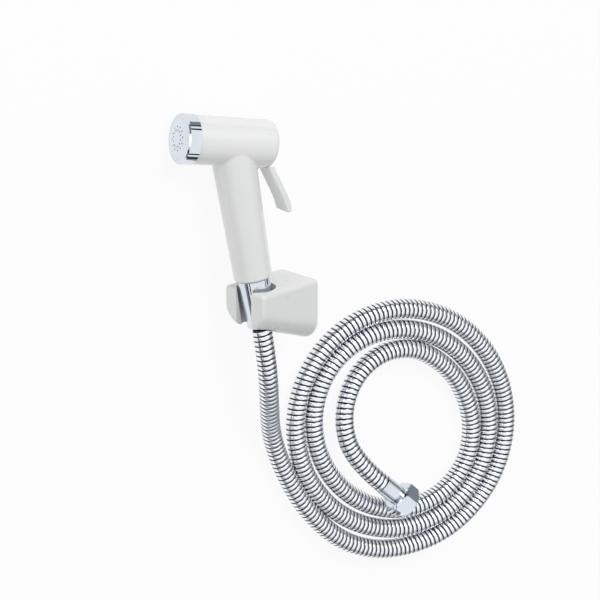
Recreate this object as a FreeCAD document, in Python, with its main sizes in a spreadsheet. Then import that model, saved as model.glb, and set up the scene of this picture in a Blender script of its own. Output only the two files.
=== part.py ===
"""Handheld bidet shower with its wall holder and its metal hose, laid down on a floor.

The handset is a T: a short barrel with a chrome nozzle on a long handle. The handle ends in the
hose's cone nut, which sits in the conical seat of the U-shaped holder. A thumb lever hangs from
the back of the barrel and pulls a sprung valve stem off its seat. The hose lies in a loose coil.

Frames, all in millimetres:
  handset  origin where the barrel's axis meets the handle's, +Z up the handle, -X to the nozzle
  barrel   the handset frame turned so that +Z runs along the barrel to the nozzle
  holder   origin at the seat's mouth, +X to the wall, +Z up when it hangs on a wall
The row's own frame has its origin on the floor under the middle of the handset and holder.
"""

import FreeCAD
import Part
import math
import os
import Sketcher

App = FreeCAD
Vector = App.Vector
Rotation = App.Rotation
Placement = App.Placement

doc = App.newDocument("bidet_shower")
sheet = doc.addObject("Spreadsheet::Sheet", "dims")

SIZES = {
    # handset: barrel
    "barrel_tilt": 72.5,
    "barrel_front_radius": 17.0,
    "barrel_rear_radius": 16.6,
    "shell_rear": -22.0,
    "collar_rear": 29.8,
    "neck_radius": 15.2,
    "neck_front": 34.6,
    "chamber_radius": 13.4,
    "seat_wall_front": 8.0,
    "seat_wall_rear": 4.0,
    "seat_bore": 7.0,
    "valve_radius": 9.0,
    "valve_rear": -12.0,
    "seal_rear": -14.0,
    "seal_radius": 4.0,
    "guide_rear": -16.5,
    # handset: handle
    "handle_top_radius": 15.5,
    "handle_low_radius": 13.35,
    "handle_end": -98.0,
    "handle_bore": 10.8,
    "handle_bore_top": -21.0,
    "tube_bore_top": -12.0,
    "water_port_radius": 4.2,
    "water_port_top": -3.0,
    "saddle_fillet": 2.5,
    "handle_edge": 1.5,
    # nozzle
    "collar_radius": 17.55,
    "collar_front": 38.8,
    "collar_round": 0.9,
    "lip_radius": 14.4,
    "lip_rear": 37.5,
    "face_flange": 15.1,
    "face_rear": 35.6,
    "face_dome": 1.8,
    "hole_radius": 0.55,
    "outer_ring": 8.2,
    "inner_ring": 5.7,
    "holes_per_ring": 12,
    "diffuser_front": 24.5,
    "diffuser_rear": 22.0,
    "diffuser_hole": 1.8,
    "diffuser_ring": 8.5,
    # rear cap and lever
    "cap_end": -30.3,
    "cap_wall": 1.7,
    "cap_spigot": 2.0,
    "cap_round": 3.5,
    "slot_half": 5.4,
    "root_half": 5.0,
    "pin_height": -11.0,
    "pin_back": -25.0,
    "pin_radius": 1.25,
    "pin_half": 9.0,
    "paddle_half": 9.0,
    "paddle_thick": 4.6,
    "paddle_length": 34.0,
    "fork_gap": 2.4,
    # valve
    "stem_radius": 2.0,
    "stem_disc": 6.4,
    "stem_disc_front": -1.3,
    "stem_disc_thick": 1.7,
    "stem_tip": 1.2,
    "stem_head_radius": 4.2,
    "stem_head_front": -24.7,
    "stem_head_thick": 1.2,
    "washer_front": 1.9,
    "lip_gap": 0.3,
    "spring_mean": 5.0,
    "spring_wire": 0.5,
    "spring_turns": 5.0,
    # clearances
    "seat_clear": 0.05,
    "run_clear": 0.08,
    # water tube and inlet
    "tube_radius": 6.0,
    "tube_inner": 4.4,
    "tube_low": -84.0,
    "plug_top": -81.0,
    "nipple_radius": 9.1,
    "nipple_end": -110.0,
    # cone nut and the hose's top ferrule
    "cone_top": -98.2,
    "cone_end": -133.0,
    "cone_top_radius": 11.6,
    "cone_low_radius": 9.75,
    "cone_shoulder": -113.5,
    "cone_bore": 9.2,
    "ferrule_flange": 9.0,
    "ferrule_flange_top": -112.0,
    "ferrule_radius": 7.5,
    "hose_bore": 4.5,
    "hose_radius": 7.0,
    # holder
    "holder_front": -12.2,
    "holder_back": 41.0,
    "holder_half": 19.0,
    "front_drop": 26.0,
    "back_drop": 45.0,
    "front_corner": 14.0,
    "back_corner": 17.0,
    "top_corner": 3.0,
    "front_round": 2.6,
    "mouth_half": 7.5,
    "seat_lean": 6.0,
    "seat_top_radius": 13.7,
    "seat_low_radius": 11.8,
    "seat_depth": 34.0,
    "pocket_front": 19.0,
    "pocket_inner": 5.6,
    "pocket_outer": 15.5,
    "pocket_top": -4.0,
    "pocket_low": -28.0,
    "screw_radius": 2.2,
    "screw_head": 4.4,
    "screw_high": -9.0,
    "screw_low": -27.0,
    # hose end: ferrule and hexagonal inlet nut, along the hose from its last point
    "end_sleeve_radius": 7.15,
    "end_sleeve": 14.0,
    "end_neck_radius": 6.2,
    "end_flange": 16.6,
    "end_flange_radius": 8.6,
    "end_face": 18.0,
    "nut_flats": 22.5,
    "nut_rear": 14.3,
    "nut_shoulder": 16.3,
    "nut_front": 27.3,
    "nut_hole": 6.5,
    "nut_thread": 9.3,
    "nut_chamfer": 1.2,
    "nut_turn": 0.0,
    "washer_face": 19.8,
    # hose coil on the floor: two half-widths, what each loses in a turn, and where it starts
    "coil_x": 133.5,
    "coil_y": -172.0,
    "coil_long": 101.0,
    "coil_wide": 91.0,
    "long_pitch": 14.3,
    "wide_pitch": 15.6,
    "coil_skew": 44.6,
    "coil_start": 40.3,
    "coil_end": 840.0,
    "coil_step": 30.0,
    "exit_run": 30.0,
    "route_share": 0.45,
    # how the handset sits in the holder, and how both lie on the floor
    "seat_offset": 1.55,
    "cone_sink": 104.4,
    "lean_yaw": -17.6,
    "lean_pitch": -7.7,
    "lean_roll": -4.3,
    "lie_tilt": 15.65,
}

for row, (alias, value) in enumerate(SIZES.items(), 1):
    sheet.set(f"A{row}", alias)
    sheet.set(f"B{row}", str(value))
    sheet.setAlias(f"B{row}", alias)
doc.recompute()


def size(alias):
    """One value of the sheet."""
    return float(sheet.get(alias))


def expression(term):
    """An expression for one co-ordinate: a number, or aliases with + and -."""
    if isinstance(term, (int, float)):
        return str(term)
    words = term.replace("-", " - ").replace("+", " + ").split()
    return " ".join(f"dims.{word}" if word[0].isalpha() else word for word in words)


def value_of(term):
    """The same co-ordinate as a number."""
    if isinstance(term, (int, float)):
        return float(term)
    total = 0.0
    sign = 1.0
    for word in term.replace("-", " - ").replace("+", " + ").split():
        if word == "-":
            sign = -1.0
        elif word == "+":
            sign = 1.0
        else:
            total += sign * (size(word) if word[0].isalpha() else float(word))
            sign = 1.0
    return total


def new_body(label):
    body = doc.addObject("PartDesign::Body", label)
    body.Label = label
    return body


def plane_of(body, role):
    for feature in body.Origin.OriginFeatures:
        if feature.Role == role:
            return feature
    raise ValueError(role)


def new_sketch(body, name, role="XZ_Plane", offset=None):
    sketch = body.newObject("Sketcher::SketchObject", name)
    sketch.AttachmentSupport = (plane_of(body, role), "")
    sketch.MapMode = "FlatFace"
    if offset is not None:
        sketch.AttachmentOffset = offset
    return sketch


def outline(sketch, points):
    """A closed outline of straight lines, each corner held by two named distances."""
    corners = [Vector(value_of(x), value_of(y), 0) for x, y in points]
    lines = []
    for index, corner in enumerate(corners):
        following = corners[(index + 1) % len(corners)]
        lines.append(sketch.addGeometry(Part.LineSegment(corner, following), False))
    for index, line in enumerate(lines):
        following = lines[(index + 1) % len(lines)]
        sketch.addConstraint(Sketcher.Constraint("Coincident", line, 2, following, 1))
    for line, (x, y) in zip(lines, points):
        for kind, term, axis in (("DistanceX", x, -2), ("DistanceY", y, -1)):
            number = value_of(term)
            if abs(number) < 1e-9:
                sketch.addConstraint(Sketcher.Constraint("PointOnObject", line, 1, axis))
                continue
            index = sketch.addConstraint(Sketcher.Constraint(kind, -1, 1, line, 1, number))
            if not isinstance(term, (int, float)):
                sketch.setExpression(f"Constraints[{index}]", expression(term))
    return sketch


def revolve(body, name, points, tilt=None, cut=False):
    """Turn an outline of (radius, height) corners about the body's own axis, or a tilted one."""
    offset = None
    if tilt is not None:
        offset = Placement(Vector(), Rotation(Vector(0, 0, 1), size(tilt)))
    sketch = outline(new_sketch(body, name + "_sketch", offset=offset), points)
    if tilt is not None:
        sketch.setExpression("AttachmentOffset.Rotation.Angle", f"dims.{tilt}")
    kind = "PartDesign::Groove" if cut else "PartDesign::Revolution"
    feature = body.newObject(kind, name)
    feature.Profile = sketch
    feature.ReferenceAxis = (sketch, ["V_Axis"])
    feature.Angle = 360
    body.Tip = feature
    doc.recompute()
    return feature


def turned(label, points, place):
    """A whole piece made by one revolution."""
    body = new_body(label)
    revolve(body, label + "_turn", points)
    body.Placement = place
    return body


def pocket_box(body, name, role, corners, offset, length, reverse=False):
    """A straight pocket with a rectangular outline."""
    sketch = outline(new_sketch(body, name + "_sketch", role, offset), corners)
    feature = body.newObject("PartDesign::Pocket", name)
    feature.Profile = sketch
    feature.Type = 0
    feature.setExpression("Length", length)
    feature.Reversed = reverse
    body.Tip = feature
    doc.recompute()
    return feature


def round_off(body, name, chosen, radius):
    """A fillet on every edge of the body so far for which chosen(edge) is true."""
    base = body.Tip
    names = [f"Edge{k}" for k, edge in enumerate(base.Shape.Edges, 1) if chosen(edge)]
    feature = body.newObject("PartDesign::Fillet", name)
    feature.Base = (base, names)
    if isinstance(radius, str):
        feature.setExpression("Radius", f"dims.{radius}")
    else:
        feature.Radius = radius
    body.Tip = feature
    doc.recompute()
    if "Invalid" in feature.State:
        raise RuntimeError(f"{name} failed on {names}")
    return feature


def check_cut(body, before, name):
    if body.Shape.Volume > before - 0.5:
        raise RuntimeError(f"{name} cut nothing")


def along(origin, turn):
    return Placement(origin, turn)


# How the pieces lie: the holder on its far side, the handset still seated in it.
rest = Placement(
    Vector(),
    Rotation(Vector(0, 1, 0), size("lie_tilt")) * Rotation(Vector(1, 0, 0), -90),
)
lean = Rotation(size("lean_yaw"), size("lean_pitch"), size("lean_roll"))
handle_way = lean.multVec(Vector(0, 0, 1))
handset_origin = Vector(0, size("seat_offset"), 0) + handle_way * size("cone_sink")
handset = rest * Placement(handset_origin, lean)
barrel = handset * Placement(Vector(), Rotation(Vector(0, 1, 0), -size("barrel_tilt")))

# Handset housing: barrel and handle in one moulding, hollow, with the valve chamber between.
shell = new_body("body_shell")
revolve(shell, "handle_skin", [
    (0, "handle_end"),
    ("handle_low_radius", "handle_end"),
    ("handle_top_radius", 0),
    ("handle_top_radius", 4),
    (0, 4),
])
revolve(shell, "barrel_skin", [
    (0, "shell_rear"),
    ("barrel_rear_radius", "shell_rear"),
    ("barrel_front_radius", "collar_rear"),
    ("neck_radius", "collar_rear"),
    ("neck_radius", "neck_front"),
    (0, "neck_front"),
], tilt="barrel_tilt")


def is_saddle(edge):
    """True where the handle runs into the barrel: neither a line nor a whole circle."""
    return edge.Curve.TypeId == "Part::GeomBSplineCurve" and edge.BoundBox.ZMax < 0


round_off(shell, "saddle", is_saddle, "saddle_fillet")
round_off(
    shell, "handle_rim", lambda edge: edge.BoundBox.ZMax < size("handle_end") + 0.01, "handle_edge"
)

before = shell.Shape.Volume
revolve(shell, "handle_hollow", [
    (0, "handle_end-1"),
    ("handle_bore", "handle_end-1"),
    ("handle_bore", "handle_bore_top"),
    ("tube_radius+seat_clear", "handle_bore_top"),
    ("tube_radius+seat_clear", "tube_bore_top"),
    ("water_port_radius", "tube_bore_top"),
    ("water_port_radius", "water_port_top"),
    (0, "water_port_top"),
], cut=True)
check_cut(shell, before, "handle_hollow")
before = shell.Shape.Volume
revolve(shell, "barrel_hollow", [
    (0, "neck_front+1"),
    ("chamber_radius", "neck_front+1"),
    ("chamber_radius", "seat_wall_front"),
    ("seat_bore", "seat_wall_front"),
    ("seat_bore", "seat_wall_rear"),
    ("valve_radius", "seat_wall_rear"),
    ("valve_radius", "valve_rear"),
    ("seal_radius", "valve_rear"),
    ("seal_radius", "seal_rear"),
    ("stem_radius+run_clear", "seal_rear"),
    ("stem_radius+run_clear", "guide_rear"),
    ("chamber_radius", "guide_rear"),
    ("chamber_radius", "shell_rear-1"),
    (0, "shell_rear-1"),
], tilt="barrel_tilt", cut=True)
check_cut(shell, before, "barrel_hollow")
shell.Placement = handset

# Rear cap: closes the barrel, carries the lever's pin and leaves a notch for the lever.
cap = new_body("rear_cap")
revolve(cap, "cap_skin", [
    (0, "cap_end"),
    ("barrel_rear_radius-0.15", "cap_end"),
    ("barrel_rear_radius", "shell_rear"),
    (0, "shell_rear"),
])
round_off(cap, "cap_edge", lambda edge: edge.BoundBox.ZMax < size("cap_end") + 0.01, "cap_round")
before = cap.Shape.Volume
revolve(cap, "cap_hollow", [
    (0, "shell_rear+1"),
    ("chamber_radius-1.2", "shell_rear+1"),
    ("chamber_radius-1.2", "cap_end+cap_wall"),
    (0, "cap_end+cap_wall"),
], cut=True)
check_cut(cap, before, "cap_hollow")
revolve(cap, "cap_spigot", [
    ("chamber_radius-1.2", "shell_rear-0.5"),
    ("chamber_radius-seat_clear", "shell_rear-0.5"),
    ("chamber_radius-seat_clear", "shell_rear+cap_spigot"),
    ("chamber_radius-1.2", "shell_rear+cap_spigot"),
])


def across(body, name, corners, half, cut=True):
    """A slab cut or added equally to both sides of the middle plane."""
    sketch = outline(new_sketch(body, name + "_sketch"), corners)
    kind = "PartDesign::Pocket" if cut else "PartDesign::Pad"
    feature = body.newObject(kind, name)
    feature.Profile = sketch
    feature.Type = 0
    feature.SideType = "Symmetric"
    feature.setExpression("Length", f"2 * dims.{half}")
    body.Tip = feature
    doc.recompute()
    return feature


def across_round(body, name, centre, radius, half, cut=True):
    """A round bar or hole square to the middle plane, equally to both sides of it."""
    sketch = new_sketch(body, name + "_sketch")
    middle = Vector(value_of(centre[0]), value_of(centre[1]), 0)
    round_line = sketch.addGeometry(Part.Circle(middle, Vector(0, 0, 1), value_of(radius)), False)
    for kind, term in (("DistanceX", centre[0]), ("DistanceY", centre[1])):
        index = sketch.addConstraint(
            Sketcher.Constraint(kind, -1, 1, round_line, 3, value_of(term))
        )
        sketch.setExpression(f"Constraints[{index}]", expression(term))
    index = sketch.addConstraint(Sketcher.Constraint("Radius", round_line, value_of(radius)))
    sketch.setExpression(f"Constraints[{index}]", expression(radius))
    kind = "PartDesign::Pocket" if cut else "PartDesign::Pad"
    feature = body.newObject(kind, name)
    feature.Profile = sketch
    feature.Type = 0
    feature.SideType = "Symmetric"
    feature.setExpression("Length", f"2 * dims.{half}")
    body.Tip = feature
    doc.recompute()
    return feature


before = cap.Shape.Volume
across(cap, "lever_notch", [
    ("pin_height+2", "shell_rear+cap_spigot+1"),
    ("pin_height+2", "cap_end-1"),
    ("pin_height-8", "cap_end-1"),
    ("pin_height-8", "shell_rear+cap_spigot+1"),
], "slot_half")
across_round(cap, "pin_hole", ("pin_height", "pin_back"), "pin_radius", "pin_half")
check_cut(cap, before, "lever_notch")
cap.Placement = barrel

pin = new_body("lever_pin")
across_round(pin, "pin_bar", ("pin_height", "pin_back"), "pin_radius", "pin_half", cut=False)
pin.Placement = barrel

# Lever: a curved thumb paddle below the barrel, a root through the notch, a fork on the stem.
PADDLE_LINE = [(-13.0, -25.0), (-19.1, -28.9), (-27.1, -34.3), (-35.0, -39.6), (-42.0, -43.5)]
PADDLE_TIP = (-46.2, -45.4)

lever = new_body("lever")
paddle_sketch = new_sketch(lever, "paddle_sketch")
inner = [Vector(x, y, 0) for x, y in PADDLE_LINE + [PADDLE_TIP]]
outer = []
for index, point in enumerate(inner):
    ahead = inner[min(index + 1, len(inner) - 1)] - inner[max(index - 1, 0)]
    side = Vector(-ahead.y, ahead.x, 0).normalize()
    thin = 0.8 if index == len(inner) - 1 else 1.0
    outer.append(point + side * size("paddle_thick") * thin)
inner_curve = Part.BSplineCurve()
inner_curve.interpolate(inner)
outer_curve = Part.BSplineCurve()
outer_curve.interpolate(outer[::-1])
inner_line = paddle_sketch.addGeometry(inner_curve, False)
tip_line = paddle_sketch.addGeometry(Part.LineSegment(inner[-1], outer[-1]), False)
outer_line = paddle_sketch.addGeometry(outer_curve, False)
root_line = paddle_sketch.addGeometry(Part.LineSegment(outer[0], inner[0]), False)
paddle = lever.newObject("PartDesign::Pad", "paddle")
paddle.Profile = paddle_sketch
paddle.Type = 0
paddle.SideType = "Symmetric"
paddle.setExpression("Length", "2 * dims.paddle_half")
lever.Tip = paddle
doc.recompute()
before = lever.Shape.Volume
revolve(lever, "barrel_relief", [
    (0, -15),
    ("barrel_front_radius", -15),
    ("barrel_front_radius", -50),
    (0, -50),
], cut=True)
check_cut(lever, before, "barrel_relief")


def is_paddle_edge(edge):
    box = edge.BoundBox
    return box.XMin < -40 or (box.YLength < 0.1 and box.XLength > 15)


round_off(lever, "paddle_round", is_paddle_edge, 1.3)
across(lever, "root", [
    (3.5, -22.2),
    (3.5, -23.2),
    (1.75, -23.9),
    (0, -24.4),
    (-5.0, -24.4),
    (-7.5, -27.4),
    (-12.5, -28.2),
    (-18.5, -31.5),
    (-18.5, -29.2),
    (-16.9, -26.9),
    (-12.5, -23.6),
    (-8.0, -22.4),
], "root_half", cut=False)
before = lever.Shape.Volume
fork_place = Placement(Vector(0, 0, -2.4), Rotation())
sketch_fork = outline(new_sketch(lever, "fork_sketch", "YZ_Plane", fork_place), [
    (-2.35, -30),
    (2.35, -30),
    (2.35, -20),
    (-2.35, -20),
])
fork = lever.newObject("PartDesign::Pocket", "fork")
fork.Profile = sketch_fork
fork.Type = 0
fork.Length = 8
fork.Reversed = True
lever.Tip = fork
doc.recompute()
check_cut(lever, before, "fork")
across_round(lever, "pin_bore", ("pin_height", "pin_back"), "pin_radius+run_clear", "pin_half")
lever.Placement = barrel

# Nozzle: chrome collar, domed face with two rings of spray holes, gasket and flow disc behind.
collar = turned("nozzle_collar", [
    ("neck_radius+seat_clear", "collar_rear+seat_clear"),
    ("collar_radius", "collar_rear+seat_clear"),
    ("collar_radius", "collar_front-collar_round"),
    ("collar_radius-collar_round", "collar_front"),
    ("lip_radius", "collar_front"),
    ("lip_radius", "lip_rear"),
    ("neck_radius+seat_clear", "lip_rear"),
], barrel)

face = new_body("spray_face")
face_sketch = new_sketch(face, "face_sketch")
rim_x = size("lip_radius") - size("seat_clear")
front = size("collar_front")
dome = size("face_dome")
dome_radius = (rim_x * rim_x + dome * dome) / (2 * dome)
dome_centre = front + dome - dome_radius
half_way = math.asin(rim_x / dome_radius) / 2
corners = [
    Vector(0, size("face_rear") + 0.8, 0),
    Vector(12.6, size("face_rear") + 0.8, 0),
    Vector(12.6, size("face_rear"), 0),
    Vector(size("face_flange"), size("face_rear"), 0),
    Vector(size("face_flange"), size("lip_rear"), 0),
    Vector(rim_x, size("lip_rear"), 0),
    Vector(rim_x, front, 0),
]
crown = Vector(0, front + dome, 0)
middle = Vector(
    dome_radius * math.sin(half_way), dome_centre + dome_radius * math.cos(half_way), 0
)
for first, second in zip(corners, corners[1:]):
    face_sketch.addGeometry(Part.LineSegment(first, second), False)
face_sketch.addGeometry(Part.Arc(corners[-1], middle, crown), False)
face_sketch.addGeometry(Part.LineSegment(crown, corners[0]), False)
face_turn = face.newObject("PartDesign::Revolution", "face_turn")
face_turn.Profile = face_sketch
face_turn.ReferenceAxis = (face_sketch, ["V_Axis"])
face_turn.Angle = 360
face.Tip = face_turn
doc.recompute()


def hole_ring(body, name, ring, radius, count, start, base_height):
    """A ring of straight holes along the body's axis."""
    place = Placement(Vector(0, 0, base_height), Rotation(Vector(0, 0, 1), start))
    sketch = new_sketch(body, name + "_sketch", "XY_Plane", place)
    hole = sketch.addGeometry(Part.Circle(Vector(size(ring), 0, 0), Vector(0, 0, 1), radius), False)
    sketch.addConstraint(Sketcher.Constraint("PointOnObject", hole, 3, -1))
    index = sketch.addConstraint(Sketcher.Constraint("DistanceX", -1, 1, hole, 3, size(ring)))
    sketch.setExpression(f"Constraints[{index}]", f"dims.{ring}")
    pocket = body.newObject("PartDesign::Pocket", name)
    pocket.Profile = sketch
    pocket.Type = 0
    pocket.Length = 12
    pocket.Reversed = True
    body.Tip = pocket
    doc.recompute()
    pattern = body.newObject("PartDesign::PolarPattern", name + "_pattern")
    pattern.Originals = [pocket]
    pattern.Axis = (plane_axis(body), [""])
    pattern.Angle = 360
    pattern.Occurrences = int(count)
    body.Tip = pattern
    doc.recompute()


def plane_axis(body):
    for feature in body.Origin.OriginFeatures:
        if feature.Role == "Z_Axis":
            return feature
    raise ValueError("Z_Axis")


before = face.Shape.Volume
hole_size = size("hole_radius")
rings = size("holes_per_ring")
hole_ring(face, "outer_holes", "outer_ring", hole_size, rings, 15, size("face_rear") - 1)
hole_ring(face, "inner_holes", "inner_ring", hole_size, rings, 0, size("face_rear") - 1)
one_hole = math.pi * hole_size ** 2 * 2.8
if before - face.Shape.Volume < one_hole * rings * 1.5:
    raise RuntimeError("spray holes missing")
face.Placement = barrel

gasket = turned("face_gasket", [
    ("chamber_radius-0.4", "neck_front"),
    ("neck_radius-seat_clear", "neck_front"),
    ("neck_radius-seat_clear", "face_rear"),
    ("chamber_radius-0.4", "face_rear"),
], barrel)

diffuser = new_body("flow_diffuser")
revolve(diffuser, "disc", [
    (0, "diffuser_rear"),
    ("chamber_radius-seat_clear", "diffuser_rear"),
    ("chamber_radius-seat_clear", "diffuser_front"),
    (0, "diffuser_front"),
])
hole_ring(
    diffuser, "flow_holes", "diffuser_ring", size("diffuser_hole"), 8, 0, size("diffuser_rear") - 1
)
diffuser.Placement = barrel

# Valve: seat, sprung stem with its washer, and the stem's seal.
seat_ring = turned("valve_seat", [
    (3.5, 2.2),
    (4.5, 2.2),
    (5.0, 2.9),
    (8.6, 2.9),
    (8.6, "seat_wall_rear"),
    ("seat_bore-seat_clear", "seat_wall_rear"),
    ("seat_bore-seat_clear", "seat_wall_front"),
    (3.5, "seat_wall_front"),
], barrel)

stem = turned("valve_stem", [
    (0, "stem_head_front-stem_head_thick"),
    ("stem_head_radius", "stem_head_front-stem_head_thick"),
    ("stem_head_radius", "stem_head_front"),
    ("stem_radius", "stem_head_front"),
    ("stem_radius", "stem_disc_front-stem_disc_thick"),
    ("stem_disc", "stem_disc_front-stem_disc_thick"),
    ("stem_disc", "stem_disc_front"),
    ("stem_tip", "stem_disc_front"),
    ("stem_tip", "washer_front"),
    (0, "washer_front"),
], barrel)

washer = turned("valve_washer", [
    ("stem_tip", "stem_disc_front"),
    (6.2, "stem_disc_front"),
    (6.2, "washer_front"),
    ("stem_tip", "washer_front"),
], barrel)

seal = turned("stem_seal", [
    ("stem_radius+run_clear", "seal_rear"),
    ("seal_radius", "seal_rear"),
    ("seal_radius", "valve_rear-0.1"),
    ("stem_radius+run_clear", "valve_rear-0.1"),
], barrel)

# Water way up the handle, and the threaded inlet at its foot.
water = turned("water_tube", [
    ("tube_inner", "tube_low"),
    ("tube_radius", "tube_low"),
    ("tube_radius", "tube_bore_top"),
    ("tube_inner", "tube_bore_top"),
], handset)

adapter = turned("inlet_adapter", [
    ("tube_inner", "nipple_end"),
    ("nipple_radius", "nipple_end"),
    ("nipple_radius", "handle_end"),
    ("handle_bore", "handle_end"),
    ("handle_bore", "plug_top"),
    ("tube_radius+seat_clear", "plug_top"),
    ("tube_radius+seat_clear", "tube_low"),
    ("tube_inner", "tube_low"),
], handset)

nut = turned("cone_nut", [
    ("ferrule_radius", "cone_end"),
    ("cone_low_radius-0.5", "cone_end"),
    ("cone_low_radius", "cone_end+0.6"),
    ("cone_top_radius", "cone_top-0.6"),
    ("cone_top_radius-0.5", "cone_top"),
    ("cone_bore", "cone_top"),
    ("cone_bore", "cone_shoulder"),
    ("ferrule_radius", "cone_shoulder"),
], handset)

cone_washer = turned("cone_washer", [
    ("hose_bore", "ferrule_flange_top"),
    ("ferrule_flange", "ferrule_flange_top"),
    ("ferrule_flange", "nipple_end"),
    ("hose_bore", "nipple_end"),
], handset)

top_ferrule = turned("hose_ferrule_top", [
    ("hose_bore", "cone_end"),
    ("ferrule_radius", "cone_end"),
    ("ferrule_radius", "cone_shoulder"),
    ("ferrule_flange", "cone_shoulder"),
    ("ferrule_flange", "ferrule_flange_top"),
    ("hose_bore", "ferrule_flange_top"),
], handset)

# Spring: a wire coil round the stem between the seal's wall and the stem's disc.
wire = size("spring_wire")
spring_low = size("valve_rear") + wire + 0.1
spring_high = size("stem_disc_front") - size("stem_disc_thick") - wire - 0.1
spring_height = spring_high - spring_low
helix = Part.makeHelix(
    spring_height / size("spring_turns"), spring_height, size("spring_mean")
)
section = Part.Wire(
    Part.makeCircle(wire, Vector(size("spring_mean"), 0, 0), Vector(0, 1, 0))
)
spring_shape = Part.Wire(helix).makePipeShell([section], True, True)
spring = doc.addObject("Part::Feature", "return_spring")
spring.Label = "return_spring"
spring.Shape = spring_shape
spring.Placement = barrel * Placement(Vector(0, 0, spring_low), Rotation())

# Holder: a U-shaped block, deeper toward the wall, with a leaning conical seat and a mouth.
holder = new_body("holder_body")


def shield(name, step):
    """The holder's outline square to the wall: flat top, deep rounded bottom corners.

    The step runs from 0 at the mouth's end, through 3 where the rounded front edge ends, to 4 at
    the wall.
    """
    depth = size("holder_back") - size("holder_front")
    swing = math.radians(30 * min(step, 3))
    inset = size("front_round") * (1 - math.sin(swing))
    ahead = size("front_round") * (1 - math.cos(swing)) if step < 4 else depth
    share = ahead / depth
    wide = size("holder_half") - inset
    high = -inset
    low = -(size("front_drop") + share * (size("back_drop") - size("front_drop"))) + inset
    round_low = size("front_corner") + share * (size("back_corner") - size("front_corner")) - inset
    round_top = size("top_corner") - inset
    place = Placement(Vector(0, 0, size("holder_front") + ahead), Rotation())
    sketch = new_sketch(holder, name, "YZ_Plane", place)

    def corner(centre_x, centre_y, radius, way_x, way_y, first, second):
        bend = math.sqrt(0.5) * radius
        middle_point = Vector(centre_x + way_x * bend, centre_y + way_y * bend, 0)
        sketch.addGeometry(Part.Arc(first, middle_point, second), False)

    top_left = Vector(-wide + round_top, high, 0)
    top_right = Vector(wide - round_top, high, 0)
    right_high = Vector(wide, high - round_top, 0)
    right_low = Vector(wide, low + round_low, 0)
    low_right = Vector(wide - round_low, low, 0)
    low_left = Vector(-wide + round_low, low, 0)
    left_low = Vector(-wide, low + round_low, 0)
    left_high = Vector(-wide, high - round_top, 0)
    top_x = wide - round_top
    low_x = wide - round_low
    sketch.addGeometry(Part.LineSegment(top_left, top_right), False)
    corner(top_x, high - round_top, round_top, 1, 1, top_right, right_high)
    sketch.addGeometry(Part.LineSegment(right_high, right_low), False)
    corner(low_x, low + round_low, round_low, 1, -1, right_low, low_right)
    sketch.addGeometry(Part.LineSegment(low_right, low_left), False)
    corner(-low_x, low + round_low, round_low, -1, -1, low_left, left_low)
    sketch.addGeometry(Part.LineSegment(left_low, left_high), False)
    corner(-top_x, high - round_top, round_top, -1, 1, left_high, top_left)
    return sketch


shields = [shield(f"shield_{step}", step) for step in range(5)]
block = holder.newObject("PartDesign::AdditiveLoft", "block")
block.Profile = shields[0]
block.Sections = shields[1:]
block.Ruled = True
holder.Tip = block
doc.recompute()

before = holder.Shape.Volume
revolve(holder, "seat", [
    (0, 1),
    ("seat_top_radius", 1),
    ("seat_top_radius", 0),
    ("seat_low_radius", "0-seat_depth"),
    ("seat_low_radius", -60),
    (0, -60),
], tilt="seat_lean", cut=True)
check_cut(holder, before, "seat")
before = holder.Shape.Volume
across(holder, "mouth", [
    ("holder_front-2", 2),
    (0, 2),
    (0, -60),
    ("holder_front-2", -60),
], "mouth_half")
check_cut(holder, before, "mouth")
before = holder.Shape.Volume
back_offset = Placement(Vector(0, 0, size("holder_back") + 1), Rotation())
for name, way in (("near", -1), ("far", 1)):
    inner_side = way * size("pocket_inner")
    outer_side = way * size("pocket_outer")
    hollow_sketch = outline(new_sketch(holder, name + "_hollow_sketch", "YZ_Plane", back_offset), [
        (inner_side, size("pocket_low")),
        (outer_side, size("pocket_low")),
        (outer_side, size("pocket_top")),
        (inner_side, size("pocket_top")),
    ])
    hollow = holder.newObject("PartDesign::Pocket", name + "_hollow")
    hollow.Profile = hollow_sketch
    hollow.Type = 0
    hollow.setExpression("Length", "dims.holder_back + 1 - dims.pocket_front")
    holder.Tip = hollow
    doc.recompute()
check_cut(holder, before, "back hollows")
for name, where in (("high", "screw_high"), ("low", "screw_low")):
    before = holder.Shape.Volume
    for part_name, radius, length in (
        ("shank", "screw_radius", "dims.holder_back + 1"),
        ("head", "screw_head", "dims.holder_back - 20"),
    ):
        start = 0.0 if part_name == "head" else size("holder_back") + 1
        place = Placement(Vector(0, 0, start), Rotation())
        sketch = new_sketch(holder, f"{name}_{part_name}_sketch", "YZ_Plane", place)
        middle_point = Vector(0, size(where), 0)
        ring_line = sketch.addGeometry(
            Part.Circle(middle_point, Vector(0, 0, 1), size(radius)), False
        )
        index = sketch.addConstraint(
            Sketcher.Constraint("DistanceY", -1, 1, ring_line, 3, size(where))
        )
        sketch.setExpression(f"Constraints[{index}]", f"dims.{where}")
        hole = holder.newObject("PartDesign::Pocket", f"{name}_{part_name}")
        hole.Profile = sketch
        hole.Type = 0
        hole.setExpression("Length", length)
        hole.Reversed = part_name == "head"
        holder.Tip = hole
        doc.recompute()
    check_cut(holder, before, name + " screw hole")
holder.Placement = rest

PIECES = [
    shell, cap, pin, lever, collar, face, gasket, diffuser, seat_ring, stem, washer, seal,
    spring, water, adapter, nut, cone_washer, top_ferrule, holder,
]
doc.recompute()

# Set the whole down on the floor, with the origin under the middle.
extent = App.BoundBox()
for piece in PIECES:
    extent.add(piece.Shape.BoundBox)
shift = Placement(
    Vector(-(extent.XMin + extent.XMax) / 2, -(extent.YMin + extent.YMax) / 2, -extent.ZMin),
    Rotation(),
)
for piece in PIECES:
    piece.Placement = shift * piece.Placement
doc.recompute()

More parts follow.
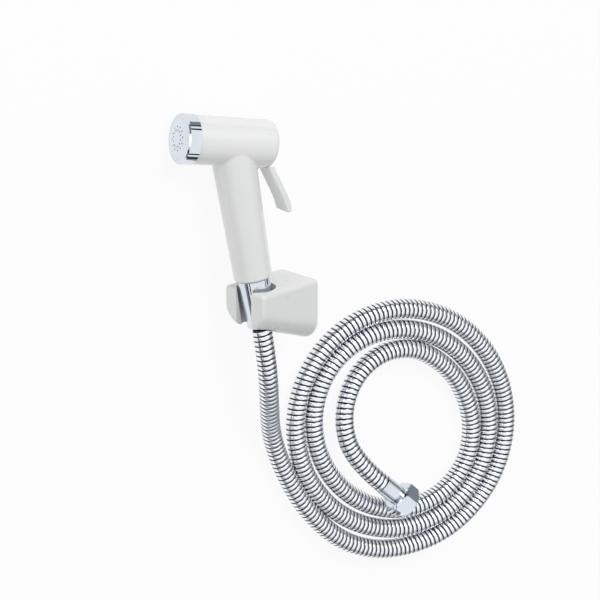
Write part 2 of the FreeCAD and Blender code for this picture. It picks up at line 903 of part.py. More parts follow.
# Hose: hand-laid points from the nut to the coil and from the coil to the inlet nut. The coil's
# turns are worked out. Straight runs between the points are joined by tangent arcs.
LEAD = [(19, -130, 22.5), (27.5, -160, 9), (38.5, -190, 7), (57, -224, 7), (88, -256, 7)]
TAIL = [
    (170, -130, 7),
    (145.5, -114.3, 7),
    (116.5, -114.0, 7.6),
    (92.5, -130.2, 10.5),
    (81.8, -158, 15),
    (89.2, -187.2, 19.8),
    (110.5, -207.5, 25.0),
]
hose_radius = size("hose_radius")
hose_start = (shift * handset).multVec(Vector(0, 0, size("cone_end")))
hose_way = -(shift * handset).Rotation.multVec(Vector(0, 0, 1))


def coil_point(degrees, outward=0.0, height=7.0):
    """A point of the coil after so many degrees of winding, moved outward from its middle."""
    skew = math.radians(size("coil_skew"))
    swing = math.radians(degrees + size("coil_start"))
    wide = size("coil_wide") - size("wide_pitch") * degrees / 360 + outward
    long = size("coil_long") - size("long_pitch") * degrees / 360 + outward
    across_x = -wide * math.cos(swing)
    across_y = -long * math.sin(swing)
    x = size("coil_x") + math.cos(skew) * across_x - math.sin(skew) * across_y
    y = size("coil_y") + math.sin(skew) * across_x + math.cos(skew) * across_y
    return Vector(x, y, height)


def coil_corner(degrees):
    """The same point moved out to where two tangents of the coil meet."""
    middle_point = Vector(size("coil_x"), size("coil_y"), hose_radius)
    grow = 1 / math.cos(math.radians(size("coil_step") / 2))
    return middle_point + (coil_point(degrees) - middle_point) * grow


steps = int(round(size("coil_end") / size("coil_step")))
coil_corners = [coil_corner(k * size("coil_step")) for k in range(steps + 1)]
lead_route = [hose_start, hose_start + hose_way * size("exit_run")]
lead_route += [Vector(*point) for point in LEAD]
tail_route = [Vector(*point) for point in TAIL]
whole_route = lead_route + coil_corners + tail_route


def bent_wire(points, say=""):
    """Straight runs joined by tangent arcs."""
    edges = []
    last = points[0]
    for before_point, point, after_point in zip(points, points[1:], points[2:]):
        inward = before_point - point
        onward = after_point - point
        shorter = min(inward.Length, onward.Length)
        turn = math.pi - inward.getAngle(onward)
        reach = size("route_share") * shorter
        if say:
            print(say, "bend", round(math.degrees(turn), 1), round(reach / math.tan(turn / 2), 1))
        inward.normalize()
        onward.normalize()
        first = point + inward * reach
        second = point + onward * reach
        bend_radius = reach / math.tan(turn / 2)
        bisector = inward + onward
        bisector.normalize()
        centre = point + bisector * (bend_radius / math.cos(turn / 2))
        towards = point - centre
        towards.normalize()
        halfway = centre + towards * bend_radius
        edges.append(Part.LineSegment(last, first).toShape())
        edges.append(Part.Arc(first, halfway, second).toShape())
        last = second
    edges.append(Part.LineSegment(last, points[-1]).toShape())
    return Part.Wire(edges)


def tube(points, name):
    wire_path = bent_wire(points, name)
    way = points[1] - points[0]
    ring = Part.Wire(Part.makeCircle(hose_radius, points[0], way))
    solid = wire_path.makePipeShell([ring], True, False)
    expected = math.pi * hose_radius ** 2 * wire_path.Length
    print(name, "length", round(wire_path.Length, 1), "volume share",
          round(solid.Volume / expected, 4))
    return solid


def biggest(shape):
    return max(shape.Solids, key=lambda solid: solid.Volume)


def feature_of(label, shape):
    thing = doc.addObject("Part::Feature", label)
    thing.Label = label
    thing.Shape = shape
    return thing


def ring_curve(points):
    curve = Part.BSplineCurve()
    curve.interpolate(points, PeriodicFlag=True)
    return Part.Wire(curve.toShape())


def coil_ring(start, outward, height):
    """A closed curve through twelve points of one turn, a given distance out from its middle."""
    return ring_curve([coil_point(start + 30 * k, outward, height) for k in range(12)])


# Heights up the hose's round side as shares of its radius, and how far out the side is there.
ROUND_SIDE = [(0.0, 0.4), (0.3, 0.86), (1.0, 1.05), (1.7, 0.86), (2.0, 0.4)]
inner_start = size("coil_end") + 30 - 360
outer_rings = []
inner_rings = []
for high, out in ROUND_SIDE:
    outer_rings.append(coil_ring(0, out * hose_radius, high * hose_radius))
    inner_rings.append(coil_ring(inner_start, -out * hose_radius, high * hose_radius))
coil_shape = Part.makeLoft(outer_rings, True, True).cut(Part.makeLoft(inner_rings, True, True))
coil_shape = biggest(coil_shape)

lead_shape = biggest(tube(lead_route + coil_corners[:3], "lead").cut(coil_shape))
tail_shape = biggest(tube(coil_corners[-2:] + tail_route, "tail").cut(coil_shape))
bent_wire(whole_route, "")
print("hose length", round(bent_wire(whole_route).Length, 1))

hose_coil = feature_of("hose_coil", coil_shape)
hose_lead = feature_of("hose_lead", lead_shape)
hose_tail = feature_of("hose_tail", tail_shape)

end_point = tail_route[-1]
end_way = tail_route[-1] - tail_route[-2]
end_way.normalize()
fitting = Placement(end_point, Rotation(Vector(0, 0, 1), end_way))
end_ferrule = turned("end_ferrule", [
    ("hose_bore", 0),
    ("end_sleeve_radius", 0),
    ("end_sleeve_radius", "end_sleeve"),
    ("end_neck_radius", "end_sleeve"),
    ("end_neck_radius", "end_flange"),
    ("end_flange_radius", "end_flange"),
    ("end_flange_radius", "end_face"),
    ("hose_bore", "end_face"),
], fitting)

inlet_nut = new_body("inlet_nut")
corner_radius = size("nut_flats") / math.sqrt(3)
hexagon = [
    (
        round(corner_radius * math.cos(math.radians(60 * k + size("nut_turn") + 0.001)), 6),
        round(corner_radius * math.sin(math.radians(60 * k + size("nut_turn") + 0.001)), 6),
    )
    for k in range(6)
]
nut_sketch = new_sketch(inlet_nut, "nut_sketch", "XY_Plane", Placement(
    Vector(0, 0, size("nut_rear")), Rotation()
))
nut_sketch.setExpression("AttachmentOffset.Base.z", "dims.nut_rear")
outline(nut_sketch, hexagon)
nut_pad = inlet_nut.newObject("PartDesign::Pad", "nut_pad")
nut_pad.Profile = nut_sketch
nut_pad.Type = 0
nut_pad.setExpression("Length", "dims.nut_front - dims.nut_rear")
inlet_nut.Tip = nut_pad
doc.recompute()
before = inlet_nut.Shape.Volume
revolve(inlet_nut, "nut_bore", [
    (0, "nut_rear-1"),
    ("nut_hole", "nut_rear-1"),
    ("nut_hole", "nut_shoulder"),
    ("nut_thread+0.4", "nut_shoulder"),
    ("nut_thread+0.4", "washer_face"),
    ("nut_thread", "washer_face"),
    ("nut_thread", "nut_front+1"),
    (0, "nut_front+1"),
], cut=True)
check_cut(inlet_nut, before, "nut_bore")
for name, height, inward in (("front_chamfer", "nut_front", -1), ("rear_chamfer", "nut_rear", 1)):
    before = inlet_nut.Shape.Volume
    depth = inward * size("nut_chamfer")
    revolve(inlet_nut, name, [
        (size("nut_flats") / 2 - 0.2, size(height)),
        (corner_radius + 0.6, size(height)),
        (corner_radius + 0.6, size(height) + depth),
    ], cut=True)
    check_cut(inlet_nut, before, name)
inlet_nut.Placement = fitting

inlet_washer = turned("inlet_washer", [
    ("hose_bore", "end_face"),
    ("end_flange_radius", "end_face"),
    ("end_flange_radius", "washer_face"),
    ("hose_bore", "washer_face"),
], fitting)

PIECES += [hose_lead, hose_coil, hose_tail, end_ferrule, inlet_nut, inlet_washer]
doc.recompute()

for thing in doc.Objects:
    if "Invalid" in thing.State or "Error" in thing.State:
        raise RuntimeError(f"{thing.Name} failed: {thing.State}")
os.makedirs("parts", exist_ok=True)
for piece in PIECES:
    shape = piece.Shape
    if shape.isNull() or not shape.isValid():
        raise RuntimeError(f"{piece.Label} is not a valid shape")
    shape.exportStep(os.path.join("parts", piece.Label + ".step"))
    box = shape.BoundBox
    print(piece.Label, len(shape.Solids), round(shape.Volume, 1),
          [round(v, 1) for v in (box.XMin, box.XMax, box.YMin, box.YMax, box.ZMin, box.ZMax)])
for name, place in (
    ("handset", shift * handset),
    ("barrel", shift * barrel),
    ("holder", shift * rest),
    ("fitting", fitting),
):
    axes = [place.Rotation.multVec(Vector(*axis)) for axis in ((1, 0, 0), (0, 1, 0), (0, 0, 1))]
    print(name, [round(v, 3) for v in place.Base], [[round(v, 5) for v in axis] for axis in axes])
print("route", [[round(v, 2) for v in point] for point in whole_route])
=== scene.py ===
"""Scene of the handheld bidet shower: hose, materials, light and camera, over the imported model."""

import math

import bpy
import numpy as np
from mathutils import Matrix, Vector


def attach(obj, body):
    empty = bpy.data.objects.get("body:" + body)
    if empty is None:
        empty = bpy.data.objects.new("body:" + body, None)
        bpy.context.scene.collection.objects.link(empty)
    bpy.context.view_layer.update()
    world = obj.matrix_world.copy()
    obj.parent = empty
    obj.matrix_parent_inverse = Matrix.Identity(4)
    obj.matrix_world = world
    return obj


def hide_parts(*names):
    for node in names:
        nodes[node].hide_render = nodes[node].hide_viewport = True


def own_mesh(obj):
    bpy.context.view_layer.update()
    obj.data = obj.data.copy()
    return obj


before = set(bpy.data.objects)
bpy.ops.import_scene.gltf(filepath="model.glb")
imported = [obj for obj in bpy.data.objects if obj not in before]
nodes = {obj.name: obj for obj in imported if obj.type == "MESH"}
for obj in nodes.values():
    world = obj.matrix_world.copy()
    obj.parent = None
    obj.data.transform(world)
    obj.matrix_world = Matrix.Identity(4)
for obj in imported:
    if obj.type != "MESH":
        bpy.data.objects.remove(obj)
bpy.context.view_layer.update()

MM = 0.001


def mesh_object(name, points, faces, smooth=True):
    """A mesh object of these points, in metres, and faces."""
    mesh = bpy.data.meshes.new(name)
    mesh.from_pydata([tuple(p) for p in points], [], faces)
    mesh.validate()
    if smooth:
        mesh.shade_smooth()
    thing = bpy.data.objects.new(name, mesh)
    bpy.context.scene.collection.objects.link(thing)
    return thing


# Materials


class Shade:
    """A Principled material and short ways to add its nodes."""

    def __init__(self, name, colour, metallic=0.0, roughness=0.4):
        self.material = bpy.data.materials.new(name)
        self.material.use_nodes = True
        self.tree = self.material.node_tree
        self.shader = self.tree.nodes["Principled BSDF"]
        self.shader.inputs["Base Color"].default_value = (*colour, 1)
        self.shader.inputs["Metallic"].default_value = metallic
        self.shader.inputs["Roughness"].default_value = roughness
        self.place = self.tree.nodes.new("ShaderNodeTexCoord").outputs["Object"]

    def put(self, socket, value):
        self.shader.inputs[socket].default_value = value

    def stretched(self, scale):
        """The place on the object, scaled differently along each axis."""
        node = self.tree.nodes.new("ShaderNodeMapping")
        node.inputs["Scale"].default_value = scale
        self.tree.links.new(self.place, node.inputs["Vector"])
        return node.outputs["Vector"]

    def noise(self, scale, detail=3.0, place=None):
        node = self.tree.nodes.new("ShaderNodeTexNoise")
        node.inputs["Scale"].default_value = scale
        node.inputs["Detail"].default_value = detail
        self.tree.links.new(place or self.place, node.inputs["Vector"])
        return node.outputs["Fac"]

    def attribute(self, name):
        node = self.tree.nodes.new("ShaderNodeAttribute")
        node.attribute_name = name
        return node.outputs["Fac"]

    def spread(self, value, low, high, start=0.3, end=0.7):
        """The value from start to end, turned into low to high."""
        node = self.tree.nodes.new("ShaderNodeMapRange")
        node.inputs["From Min"].default_value = start
        node.inputs["From Max"].default_value = end
        node.inputs["To Min"].default_value = low
        node.inputs["To Max"].default_value = high
        self.tree.links.new(value, node.inputs["Value"])
        return node.outputs["Result"]

    def ramp(self, value, stops):
        """The value through colours at these places."""
        node = self.tree.nodes.new("ShaderNodeValToRGB")
        ramp = node.color_ramp
        while len(ramp.elements) < len(stops):
            ramp.elements.new(0.5)
        for element, (at, colour) in zip(ramp.elements, stops):
            element.position = at
            element.color = (*colour, 1)
        self.tree.links.new(value, node.inputs["Fac"])
        return node.outputs["Color"]

    def feed(self, value, socket):
        self.tree.links.new(value, self.shader.inputs[socket])

    def bump(self, height, distance, strength=1.0):
        """Adds a bump to those before it."""
        node = self.tree.nodes.new("ShaderNodeBump")
        node.inputs["Distance"].default_value = distance
        node.inputs["Strength"].default_value = strength
        self.tree.links.new(height, node.inputs["Height"])
        before = self.shader.inputs["Normal"]
        if before.is_linked:
            self.tree.links.new(before.links[0].from_socket, node.inputs["Normal"])
        self.tree.links.new(node.outputs["Normal"], before)


def plastic(name, colour, shaded, gloss=(0.17, 0.25)):
    """Glossy moulded plastic with a faint orange peel and a slight drift of colour."""
    made = Shade(name, colour)
    made.feed(made.ramp(made.noise(14, 1), [(0.35, shaded), (0.65, colour)]), "Base Color")
    made.feed(made.spread(made.noise(60, 2), *gloss), "Roughness")
    made.bump(made.noise(700, 1), 0.00001, 0.12)
    made.put("Subsurface Weight", 0.04)
    made.put("Subsurface Scale", 0.002)
    made.put("Coat Weight", 0.25)
    made.put("Coat Roughness", 0.08)
    return made.material


def plating(name, colour, shaded, gloss=(0.04, 0.1)):
    """Bright plating with a soft waviness and fine polishing marks."""
    made = Shade(name, colour, metallic=1.0)
    marks = made.noise(900, 5, made.stretched((1, 1, 0.12)))
    made.feed(made.ramp(made.noise(60, 2), [(0.3, shaded), (0.7, colour)]), "Base Color")
    made.feed(made.spread(marks, *gloss), "Roughness")
    made.bump(made.noise(90, 1), 0.00002, 0.15)
    made.bump(marks, 0.000002, 0.3)
    return made.material


def rubber(name, colour, shaded):
    """Matt rubber with a grain."""
    made = Shade(name, colour)
    grain = made.noise(1500, 4)
    made.feed(made.ramp(grain, [(0.3, shaded), (0.7, colour)]), "Base Color")
    made.feed(made.spread(grain, 0.55, 0.75), "Roughness")
    made.bump(grain, 0.00004, 0.5)
    return made.material


SATIN_WHITE = (0.76, 0.775, 0.765)
SATIN_SHADED = (0.74, 0.76, 0.75)
white_abs = plastic("white_abs", (0.775, 0.785, 0.775), (0.755, 0.77, 0.76))
white_lever = plastic("white_lever", SATIN_WHITE, SATIN_SHADED, (0.22, 0.28))
white_holder = plastic("white_holder", SATIN_WHITE, SATIN_SHADED, (0.27, 0.3))
inner_plastic = plastic("inner_plastic", (0.62, 0.64, 0.66), (0.55, 0.57, 0.6), (0.3, 0.42))
chrome = plating("bright_chrome", (0.74, 0.78, 0.84), (0.7, 0.75, 0.81), (0.03, 0.07))
brass = plating("brass", (0.72, 0.5, 0.22), (0.6, 0.4, 0.16), (0.18, 0.32))
steel = plating("steel", (0.66, 0.67, 0.69), (0.56, 0.57, 0.59), (0.2, 0.34))
black_rubber = rubber("black_rubber", (0.03, 0.03, 0.032), (0.018, 0.018, 0.02))


def hose_material():
    """Stainless strip: bright on the outside of each turn, with painted shade that darkens its
    colour to near black in the groove.
    """
    made = Shade("hose_steel", (0.8, 0.82, 0.84), metallic=1.0)
    groove = made.attribute("groove")
    # painted shade: the groove value turns the steel's colour grey, then near black, in the groove
    steps = [(0.0, (0.86, 0.88, 0.91)), (0.3, (0.6, 0.62, 0.66)), (0.6, (0.02, 0.02, 0.025))]
    made.feed(made.ramp(groove, steps), "Base Color")
    made.feed(made.spread(made.noise(500, 4), 0.05, 0.1), "Roughness")
    made.bump(made.noise(260, 1), 0.00001, 0.2)
    return made.material


hose_steel = hose_material()

DRESS = {
    "body_shell": (white_abs, "white_abs"),
    "rear_cap": (white_abs, "white_abs"),
    "lever": (white_lever, "white_lever"),
    "lever_pin": (steel, "steel_parts"),
    "nozzle_collar": (chrome, "bright_chrome"),
    "spray_face": (chrome, "bright_chrome"),
    "face_gasket": (black_rubber, "black_rubber"),
    "flow_diffuser": (inner_plastic, "inner_plastic"),
    "valve_seat": (brass, "brass_parts"),
    "valve_stem": (inner_plastic, "inner_plastic"),
    "valve_washer": (black_rubber, "black_rubber"),
    "stem_seal": (black_rubber, "black_rubber"),
    "water_tube": (inner_plastic, "inner_plastic"),
    "inlet_adapter": (brass, "brass_parts"),
    "cone_nut": (chrome, "bright_chrome"),
    "cone_washer": (black_rubber, "black_rubber"),
    "hose_ferrule_top": (chrome, "bright_chrome"),
    "holder_body": (white_holder, "white_holder"),
    "end_ferrule": (chrome, "bright_chrome"),
    "inlet_washer": (black_rubber, "black_rubber"),
}
for node_name, (finish, slot_name) in DRESS.items():
    thing = nodes[node_name]
    thing.data.materials.clear()
    thing.data.materials.append(finish)

# Hose

HOSE_START = [
    (8.65, -69.2, 30.22),
    (12.57, -98.85, 32.6),
    (19, -130, 22.5),
    (27.5, -160, 9),
    (38.5, -190, 7),
    (57, -224, 7),
    (88, -256, 7),
]
HOSE_END = [
    (170, -130, 7),
    (145.5, -114.3, 7),
    (116.5, -114, 7.6),
    (92.5, -130.2, 10.5),
    (81.8, -158, 15),
    (89.2, -187.2, 19.8),
    (110.5, -207.5, 25.0),
]
COIL_MIDDLE = (133.5, -172)
COIL_WIDE = 91
COIL_LONG = 101
WIDE_PITCH = 15.6
LONG_PITCH = 14.3
COIL_SKEW = math.radians(44.6)
COIL_START = math.radians(40.3)
COIL_STEP = 30
COIL_END = 840
HOSE_RADIUS = 7
PITCH = 3.6
LINE_SPACING = 0.5


def coil_corner(degrees):
    """A corner of the coil, in mm, after so many degrees of winding."""
    swing = math.radians(degrees) + COIL_START
    grow = 1 / math.cos(math.radians(COIL_STEP / 2))
    along_x = -(COIL_WIDE - WIDE_PITCH * degrees / 360) * math.cos(swing) * grow
    along_y = -(COIL_LONG - LONG_PITCH * degrees / 360) * math.sin(swing) * grow
    return (
        COIL_MIDDLE[0] + math.cos(COIL_SKEW) * along_x - math.sin(COIL_SKEW) * along_y,
        COIL_MIDDLE[1] + math.sin(COIL_SKEW) * along_x + math.cos(COIL_SKEW) * along_y,
        HOSE_RADIUS,
    )


turns = [coil_corner(step) for step in range(0, COIL_END + 1, COIL_STEP)]
route = [Vector(point) * MM for point in HOSE_START + turns + HOSE_END]


def followed(points):
    """The points of a smooth curve through this route, close together."""
    curve = bpy.data.curves.new("hose_line", "CURVE")
    curve.dimensions = "3D"
    curve.resolution_u = 32
    spline = curve.splines.new("NURBS")
    spline.points.add(len(points) - 1)
    for knot, point in zip(spline.points, points):
        knot.co = (*point, 1)
    spline.order_u = 3
    spline.use_endpoint_u = True
    line = bpy.data.objects.new("hose_line", curve)
    bpy.context.scene.collection.objects.link(line)
    bpy.context.view_layer.update()
    mesh = bpy.data.meshes.new_from_object(line)
    found = np.array([v.co[:] for v in mesh.vertices])
    bpy.data.objects.remove(line)
    bpy.data.curves.remove(curve)
    bpy.data.meshes.remove(mesh)
    return found


def even(points, spacing):
    """The same line with its points at an even spacing, and its length."""
    steps = np.linalg.norm(np.diff(points, axis=0), axis=1)
    reach = np.concatenate(([0], np.cumsum(steps)))
    count = int(round(reach[-1] / spacing))
    at = np.linspace(0, reach[-1], count + 1)
    return np.stack([np.interp(at, reach, points[:, k]) for k in range(3)], axis=1), reach[-1]


def untwisted(points):
    """Two directions across the line at each point, carried along it without a twist."""
    ways = np.gradient(points, axis=0)
    ways /= np.linalg.norm(ways, axis=1)[:, None]
    sides = np.zeros_like(points)
    side = np.cross(ways[0], (0, 0, 1))
    for k, way in enumerate(ways):
        side = side - way * np.dot(side, way)
        side = side / np.linalg.norm(side)
        sides[k] = side
    return sides, np.cross(ways, sides)


line, hose_length = even(followed(route), LINE_SPACING * MM)
sides, lifts = untwisted(line)
line_reach = np.linspace(0, hose_length, len(line))

# One turn of the strip: where along the pitch, radius in mm, and how much painted shade darkens the
# colour there (most in the groove)
STRIP = [
    (0.00, 6.82, 0.5),
    (0.07, 6.97, 0.0),
    (0.37, 7.02, 0.0),
    (0.68, 6.97, 0.0),
    (0.75, 6.82, 0.5),
    (0.78, 6.3, 1.0),
    (0.96, 6.3, 1.0),
]
AROUND = 28


def read_along(values, along):
    """The values kept at the line's points, read at these lengths along it."""
    return np.stack([np.interp(along, line_reach, values[:, k]) for k in range(3)], axis=1)


def hose_mesh():
    """The wound strip as one mesh whose grooves run round it as a screw thread."""
    pitch = PITCH * MM
    count = math.ceil(hose_length / pitch)
    along = []
    radii = []
    grooves = []
    for turn in range(count):
        for at, radius, groove_shade in STRIP:
            for j in range(AROUND):
                along.append((turn + at + j / AROUND) * pitch)
                radii.append(radius * MM)
                grooves.append(groove_shade)
    along = np.clip(along, 0, hose_length)
    angle = np.tile(np.arange(AROUND) * 2 * math.pi / AROUND, count * len(STRIP))
    out_x = np.cos(angle)[:, None] * read_along(sides, along)
    out_y = np.sin(angle)[:, None] * read_along(lifts, along)
    where = read_along(line, along) + np.array(radii)[:, None] * (out_x + out_y)
    rings = len(STRIP)
    faces = []
    for ring in range(count * rings - 1):
        for j in range(AROUND):
            a = ring * AROUND + j
            b = a + AROUND
            if j < AROUND - 1:
                faces.append((a, a + 1, b + 1, b))
            elif ring + 1 + rings < count * rings:
                onward = (ring + rings) * AROUND
                faces.append((a, onward, onward + AROUND, b))
    made = mesh_object("hose", where, faces)
    # painted shade: how much the hose material darkens the colour at each point, most in the groove
    mark = made.data.attributes.new("groove", "FLOAT", "POINT")
    mark.data.foreach_set("value", grooves)
    made.data.materials.append(hose_steel)
    return made


hose = hose_mesh()
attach(hose, "housing")
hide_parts("hose_lead", "hose_coil", "hose_tail")


def outward(across, side, turn):
    """The direction at this turn round an axis, from two directions across it."""
    return across * math.cos(turn) + side * math.sin(turn)


# Inlet nut: a hexagon cut by a cone at each end, with a thread inside

FITTING_PLACE = (110.5, -207.5, 25.0)
FITTING_ACROSS = (0.56717, 0.41251, -0.71285)
FITTING_SIDE = (0.41251, 0.60686, 0.67938)
FITTING_AHEAD = (0.71285, -0.67938, 0.17403)
NUT_FLATS = 22.5
NUT_REAR = 14.3
NUT_SHOULDER = 16.3
NUT_FRONT = 27.3
NUT_HOLE = 6.6
NUT_THREAD = 9.4
MOUTH_FLARE = 0.5
SHOULDER_FLARE = 0.4
THREAD_START = 20.2
THREAD_GAP = 0.4
THREAD_PITCH = 1.8
THREAD_SHAPE = (0.0, 0.2, 0.45, 0.2)
CONE_RADIUS = 10.6
CONE_SLOPE = 1.05
FLAT_DEGREES = 60
NUT_STEPS = 96
NUT_LEVELS = 18
NUT_SHARP = math.radians(22)


def nut_outside(angle, height):
    """The radius of the hexagon at this angle, held in by the cone of the nearer end."""
    turned = (math.degrees(angle) % FLAT_DEGREES) - FLAT_DEGREES / 2
    flat = NUT_FLATS / 2 / math.cos(math.radians(turned))
    depth = min(height - NUT_REAR, NUT_FRONT - height)
    return min(flat, CONE_RADIUS + CONE_SLOPE * depth)


def nut_mesh():
    """The nut's outside and bore as rings round its axis."""
    turns_round = [2 * math.pi * k / NUT_STEPS for k in range(NUT_STEPS)]
    rings = []
    for level in range(NUT_LEVELS + 1):
        height = NUT_REAR + (NUT_FRONT - NUT_REAR) * level / NUT_LEVELS
        rings.append([(nut_outside(turn, height), height) for turn in turns_round])
    rings.append([(NUT_THREAD + MOUTH_FLARE, NUT_FRONT)] * NUT_STEPS)
    shares = len(THREAD_SHAPE)
    threads = int((NUT_FRONT - THREAD_GAP - THREAD_START) / THREAD_PITCH * shares)
    for step in range(threads, -1, -1):
        height = THREAD_START + step * THREAD_PITCH / shares
        radius = NUT_THREAD + THREAD_SHAPE[step % shares]
        rings.append([(radius, height)] * NUT_STEPS)
    rings.append([(NUT_THREAD + SHOULDER_FLARE, NUT_SHOULDER)] * NUT_STEPS)
    rings.append([(NUT_HOLE, NUT_SHOULDER)] * NUT_STEPS)
    rings.append([(NUT_HOLE, NUT_REAR)] * NUT_STEPS)
    place = Vector(FITTING_PLACE)
    across, side, ahead = Vector(FITTING_ACROSS), Vector(FITTING_SIDE), Vector(FITTING_AHEAD)
    points = []
    for ring in rings:
        for turn, (radius, height) in zip(turns_round, ring):
            out = outward(across, side, turn)
            points.append((place + out * radius + ahead * height) * MM)
    faces = []
    for ring in range(len(rings)):
        onward = (ring + 1) % len(rings)
        for k in range(NUT_STEPS):
            near = (k + 1) % NUT_STEPS
            faces.append((
                ring * NUT_STEPS + k,
                ring * NUT_STEPS + near,
                onward * NUT_STEPS + near,
                onward * NUT_STEPS + k,
            ))
    made = mesh_object("inlet_nut_faceted", points, faces)
    made.data.set_sharp_from_angle(angle=NUT_SHARP)
    made.data.materials.append(chrome)
    return made


inlet_nut = nut_mesh()
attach(inlet_nut, "nut_body")
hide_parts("inlet_nut")

# Return spring: a wire coil along the barrel's axis

BARREL_PLACE = (-8.775, 62.226, 19.647)
BARREL_ACROSS = (0.1729, 0.98275, -0.06566)
BARREL_SIDE = (0.04397, -0.0743, -0.99627)
BARREL_AHEAD = (-0.98396, 0.16937, -0.05606)
SPRING_LOW = -11.4
SPRING_HIGH = -3.6
SPRING_MEAN = 5.0
SPRING_WIRE = 0.5
SPRING_TURNS = 5
SPRING_STEPS = 32
WIRE_SIDES = 10


def spring_mesh():
    """The spring's wire as rings along its helix, closed at both ends."""
    place = Vector(BARREL_PLACE)
    across, side, ahead = Vector(BARREL_ACROSS), Vector(BARREL_SIDE), Vector(BARREL_AHEAD)
    count = SPRING_TURNS * SPRING_STEPS
    points = []
    for step in range(count + 1):
        turn = 2 * math.pi * step / SPRING_STEPS
        out = outward(across, side, turn)
        height = SPRING_LOW + (SPRING_HIGH - SPRING_LOW) * step / count
        for k in range(WIRE_SIDES):
            swing = 2 * math.pi * k / WIRE_SIDES
            away = out * (SPRING_MEAN + SPRING_WIRE * math.cos(swing))
            points.append((place + away + ahead * (height + SPRING_WIRE * math.sin(swing))) * MM)
    faces = []
    for ring in range(count):
        for k in range(WIRE_SIDES):
            near = (k + 1) % WIRE_SIDES
            a, b = ring * WIRE_SIDES, (ring + 1) * WIRE_SIDES
            faces.append((a + k, a + near, b + near, b + k))
    faces.append(tuple(reversed(range(WIRE_SIDES))))
    faces.append(tuple(range(count * WIRE_SIDES, (count + 1) * WIRE_SIDES)))
    made = mesh_object("spring_wire", points, faces)
    made.data.materials.append(steel)
    return made


spring = spring_mesh()
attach(spring, "housing")
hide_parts("return_spring")
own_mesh(spring)

# Stage


def larger(tree, first, second):
    """The larger of two sockets' values."""
    node = tree.nodes.new("ShaderNodeMath")
    node.operation = "MAXIMUM"
    tree.links.new(first, node.inputs[0])
    tree.links.new(second, node.inputs[1])
    return node.outputs[0]


def blended(tree, share, first, second):
    """The first shader, giving way to the second by this share."""
    node = tree.nodes.new("ShaderNodeMixShader")
    tree.links.new(share, node.inputs[0])
    tree.links.new(first, node.inputs[1])
    tree.links.new(second, node.inputs[2])
    return node.outputs[0]


def empty_tree(owner):
    """The owner's node tree with nothing in it, and what kind of ray is being shaded."""
    owner.use_nodes = True
    tree = owner.node_tree
    tree.nodes.clear()
    return tree, tree.nodes.new("ShaderNodeLightPath").outputs


FLOOR_HALF = 4.0
FLOOR_DROP = 0.0002
FLOOR_WHITE = 0.9
FLOOR_GLOW = 0.9


def floor_material():
    """White for the camera and in reflections, with the shadow kept."""
    made = bpy.data.materials.new("floor")
    tree, ray = empty_tree(made)
    seen = larger(tree, ray["Is Camera Ray"], ray["Is Glossy Ray"])
    seen = larger(tree, seen, ray["Is Transmission Ray"])
    share = tree.nodes.new("ShaderNodeMath")
    share.operation = "MULTIPLY"
    share.inputs[1].default_value = FLOOR_GLOW
    tree.links.new(seen, share.inputs[0])
    matt = tree.nodes.new("ShaderNodeBsdfDiffuse")
    matt.inputs["Color"].default_value = (FLOOR_WHITE, FLOOR_WHITE, FLOOR_WHITE, 1)
    glow = tree.nodes.new("ShaderNodeEmission")
    mixed = blended(tree, share.outputs[0], matt.outputs[0], glow.outputs[0])
    out = tree.nodes.new("ShaderNodeOutputMaterial")
    tree.links.new(mixed, out.inputs["Surface"])
    return made


corners = [
    (-FLOOR_HALF, -FLOOR_HALF, -FLOOR_DROP),
    (FLOOR_HALF, -FLOOR_HALF, -FLOOR_DROP),
    (FLOOR_HALF, FLOOR_HALF, -FLOOR_DROP),
    (-FLOOR_HALF, FLOOR_HALF, -FLOOR_DROP),
]
floor = mesh_object("floor", corners, [(0, 1, 2, 3)], smooth=False)
floor.data.materials.append(floor_material())

CARD_MIDDLE = (0.09, -0.09)
CARD_RADIUS = 0.42
CARD_HEIGHT = 0.09
CARD_STEPS = 48
CARD_GREY = (0.24, 0.27, 0.3, 1)


def card_material():
    """A plain grey for reflections."""
    made = bpy.data.materials.new("card")
    made.use_nodes = True
    glow = made.node_tree.nodes.new("ShaderNodeEmission")
    glow.inputs["Color"].default_value = CARD_GREY
    out = made.node_tree.nodes["Material Output"]
    made.node_tree.links.new(glow.outputs[0], out.inputs["Surface"])
    return made


def card_ring():
    """A low card round the part, which only reflections see."""
    rim = []
    panels = []
    for step in range(CARD_STEPS):
        turn = 2 * math.pi * step / CARD_STEPS
        x = CARD_MIDDLE[0] + CARD_RADIUS * math.cos(turn)
        y = CARD_MIDDLE[1] + CARD_RADIUS * math.sin(turn)
        rim += [(x, y, 0), (x, y, CARD_HEIGHT)]
        onward = (step + 1) % CARD_STEPS
        panels.append((2 * step, 2 * onward, 2 * onward + 1, 2 * step + 1))
    made = mesh_object("card", rim, panels)
    made.data.materials.append(card_material())
    made.visible_camera = False
    made.visible_diffuse = False
    made.visible_shadow = False
    made.visible_transmission = False
    return made


card = card_ring()

AMBIENT = 0.74
MIRROR_BLUE = 1.02
# How bright reflections find the room: from straight down (0) to straight up (1)
MIRROR_BANDS = [
    (0.0, 1.0),
    (0.499, 1.0),
    (0.5, 0.0),
    (0.63, 0.02),
    (0.65, 0.5),
    (0.68, 1.0),
    (0.72, 1.0),
    (0.725, 0.0),
    (0.77, 0.0),
    (0.775, 1.0),
]


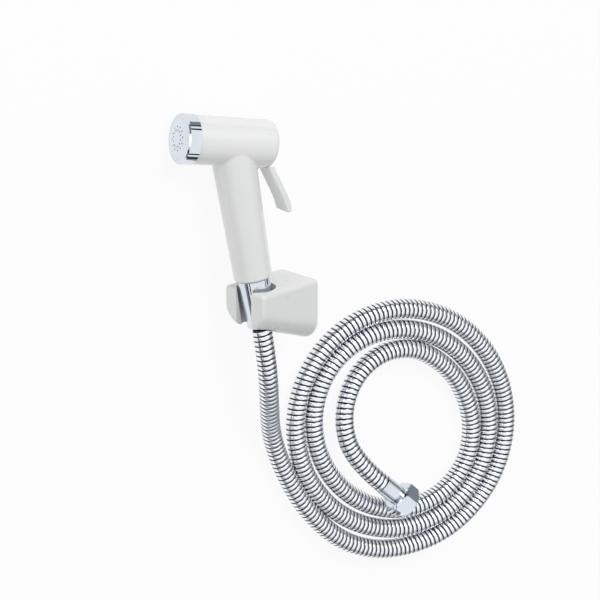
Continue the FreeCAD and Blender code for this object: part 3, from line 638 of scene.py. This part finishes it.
def mirror_colour(tree):
    """The bands as a colour, by the height of the direction looked in."""
    place = tree.nodes.new("ShaderNodeTexCoord")
    split = tree.nodes.new("ShaderNodeSeparateXYZ")
    tree.links.new(place.outputs["Generated"], split.inputs[0])
    band = tree.nodes.new("ShaderNodeMapRange")
    band.inputs["From Min"].default_value = -1
    band.inputs["From Max"].default_value = 1
    tree.links.new(split.outputs["Z"], band.inputs["Value"])
    ramp = tree.nodes.new("ShaderNodeValToRGB")
    while len(ramp.color_ramp.elements) < len(MIRROR_BANDS):
        ramp.color_ramp.elements.new(0.5)
    for element, (at, level) in zip(ramp.color_ramp.elements, MIRROR_BANDS):
        element.position = at
        element.color = (level, level, level * MIRROR_BLUE, 1)
    tree.links.new(band.outputs["Result"], ramp.inputs["Fac"])
    return ramp.outputs["Color"]


def studio_world():
    """White for the camera, a soft light for surfaces and dark bands for reflections."""
    made = bpy.data.worlds.new("studio")
    tree, ray = empty_tree(made)
    mirror = tree.nodes.new("ShaderNodeBackground")
    tree.links.new(mirror_colour(tree), mirror.inputs["Color"])
    soft = tree.nodes.new("ShaderNodeBackground")
    soft.inputs["Strength"].default_value = AMBIENT
    plain = tree.nodes.new("ShaderNodeBackground")
    seen = larger(tree, ray["Is Camera Ray"], ray["Is Transmission Ray"])
    lit = blended(tree, ray["Is Glossy Ray"], soft.outputs[0], mirror.outputs[0])
    shown = blended(tree, seen, lit, plain.outputs[0])
    out = tree.nodes.new("ShaderNodeOutputWorld")
    tree.links.new(shown, out.inputs["Surface"])
    return made


bpy.context.scene.world = studio_world()

# Camera and lamps

CAMERA_RIGHT = Vector((0.8743, 0.0, 0.4855))
CAMERA_UP = Vector((0.1496, 0.9511, -0.2702))
CAMERA_BACK = Vector((-0.4618, 0.3090, 0.8315))
CAMERA_PLACE = Vector((-1.03077, 0.66066, 1.95708))
CAMERA_LENS = 200
CAMERA_SENSOR = 36
PART_MIDDLE = Vector((0.07, -0.09, 0.02))


def photo_camera():
    """A camera where the photo was taken from."""
    data = bpy.data.cameras.new("camera")
    data.lens = CAMERA_LENS
    data.sensor_fit = "HORIZONTAL"
    data.sensor_width = CAMERA_SENSOR
    data.clip_start = 0.05
    data.clip_end = 50
    made = bpy.data.objects.new("camera", data)
    bpy.context.scene.collection.objects.link(made)
    turn = Matrix((CAMERA_RIGHT, CAMERA_UP, CAMERA_BACK)).transposed().to_4x4()
    made.matrix_world = Matrix.Translation(CAMERA_PLACE) @ turn
    return made


def lamp(name, across, above, nearer, wide, watts):
    """A square soft lamp aimed at the middle of the part, placed in the camera's own directions."""
    away = CAMERA_RIGHT * across + CAMERA_UP * above + CAMERA_BACK * nearer
    place = PART_MIDDLE + away
    light = bpy.data.lights.new(name, "AREA")
    light.size = wide
    light.energy = watts
    thing = bpy.data.objects.new(name, light)
    bpy.context.scene.collection.objects.link(thing)
    aim = away.to_track_quat("Z", "Y").to_matrix().to_4x4()
    thing.matrix_world = Matrix.Translation(place) @ aim


bpy.context.scene.camera = photo_camera()
lamp("key", 0.9, 0.9, 1.4, 1.0, 15)
lamp("fill", -1.2, 0.2, 1.2, 1.2, 5)

bpy.context.scene.view_settings.view_transform = "Standard"
